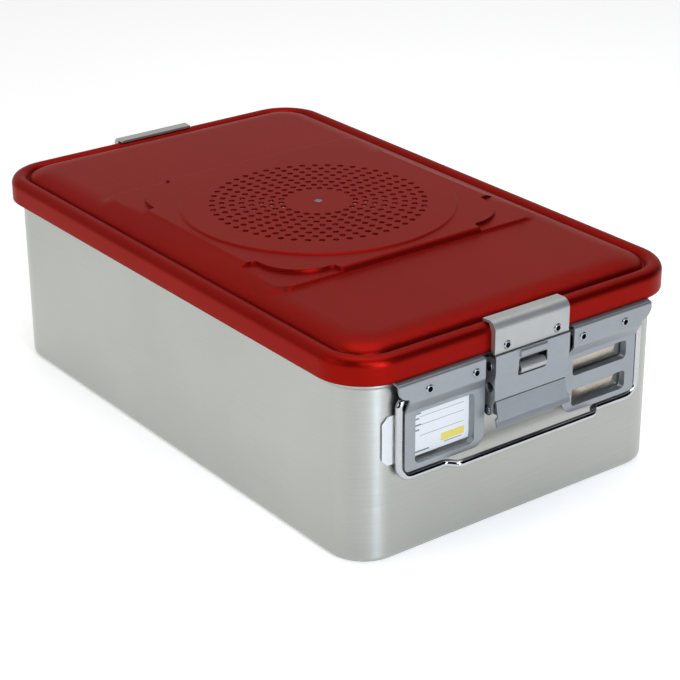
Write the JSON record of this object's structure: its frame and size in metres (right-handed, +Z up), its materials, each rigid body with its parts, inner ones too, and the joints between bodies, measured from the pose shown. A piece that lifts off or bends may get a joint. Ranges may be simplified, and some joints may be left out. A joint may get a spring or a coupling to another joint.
{
  "type": "sterilization container",
  "caption": "Rectangular metal sterilization container with a perforated lift-off lid, over-centre end latches, drop handles and label holders.",
  "frame": {"origin": "centre of the base at the bottom of the bounding box", "axes": "+Z up, long axis along Y, latched ends facing -Y and +Y"},
  "size_m": [0.29, 0.4834, 0.1622],
  "materials": {
    "tub": "satin anodised",
    "lid": "red anodised, satin",
    "gasket": "silicone",
    "hardware": "satin",
    "rivet": "satin",
    "pin": "polished",
    "wire": "polished",
    "retainer": "satin",
    "knob": "moulded",
    "filter": "matt",
    "card": "coated"
  },
  "bodies": {
    "tub": {"tub_shell": "tub", "front_label_holder": "hardware", "front_tag_holder": "hardware", "front_holder_rivets": "rivet", "front_latch_base": "hardware", "front_latch_base_rivets": "rivet", "front_pivot_pin": "pin", "rear_label_holder": "hardware", "rear_tag_holder": "hardware", "rear_holder_rivets": "rivet", "rear_latch_base": "hardware", "rear_latch_base_rivets": "rivet", "rear_pivot_pin": "pin"},
    "lid": {"lid_shell": "lid", "lid_gasket": "gasket", "retainer_stud": "rivet", "filter_sheet": "filter", "front_lid_catch": "hardware", "front_catch_rivets": "rivet", "rear_lid_catch": "hardware", "rear_catch_rivets": "rivet"},
    "retainer": {"filter_retainer": "retainer"},
    "knob": {"retainer_knob": "knob"},
    "front_handle": {"front_handle": "wire"},
    "front_lever": {"front_latch_lever": "hardware", "front_link_pins": "pin"},
    "front_hook": {"front_latch_hook": "hardware", "front_hook_bar": "pin"},
    "front_card": {"front_label_card": "card"},
    "rear_handle": {"rear_handle": "wire"},
    "rear_lever": {"rear_latch_lever": "hardware", "rear_link_pins": "pin"},
    "rear_hook": {"rear_latch_hook": "hardware", "rear_hook_bar": "pin"},
    "rear_card": {"rear_label_card": "card"}
  },
  "joints": [
    {"name": "lid_lift", "type": "slide", "parent": "tub", "child": "lid", "axis": [0, 0, 1], "range_m": [0, 0.2]},
    {"name": "retainer_drop", "type": "slide", "parent": "lid", "child": "retainer", "axis": [0, 0, -1], "range_m": [0, 0.04]},
    {"name": "knob_turn", "type": "hinge", "parent": "retainer", "child": "knob", "pos_m": [0, 0, 0.15], "axis": [0, 0, 1], "range_deg": [0, 90]},
    {"name": "front_handle_swing", "type": "hinge", "parent": "tub", "child": "front_handle", "pos_m": [0, -0.22925, 0.117], "axis": [-1, 0, 0], "range_deg": [0, 90]},
    {"name": "front_latch_pull", "type": "hinge", "parent": "tub", "child": "front_lever", "pos_m": [0, -0.23275, 0.1075], "axis": [-1, 0, 0], "range_deg": [0, 75]},
    {"name": "front_hook_follow", "type": "hinge", "parent": "front_lever", "child": "front_hook", "pos_m": [0, -0.23115, 0.0908], "axis": [-1, 0, 0], "range_deg": [-75, 0]},
    {"name": "front_card_slide", "type": "slide", "parent": "tub", "child": "front_card", "axis": [-1, 0, 0], "range_m": [0, 0.06]},
    {"name": "rear_handle_swing", "type": "hinge", "parent": "tub", "child": "rear_handle", "pos_m": [0, 0.22925, 0.117], "axis": [1, 0, 0], "range_deg": [0, 90]},
    {"name": "rear_latch_pull", "type": "hinge", "parent": "tub", "child": "rear_lever", "pos_m": [0, 0.23275, 0.1075], "axis": [1, 0, 0], "range_deg": [0, 75]},
    {"name": "rear_hook_follow", "type": "hinge", "parent": "rear_lever", "child": "rear_hook", "pos_m": [0, 0.23115, 0.0908], "axis": [1, 0, 0], "range_deg": [-75, 0]},
    {"name": "rear_card_slide", "type": "slide", "parent": "tub", "child": "rear_card", "axis": [1, 0, 0], "range_m": [0, 0.06]}
  ],
  "couplings": [
    {"joint": "front_hook_follow", "follows": "front_latch_pull", "ratio": -1},
    {"joint": "rear_hook_follow", "follows": "rear_latch_pull", "ratio": -1}
  ]
}
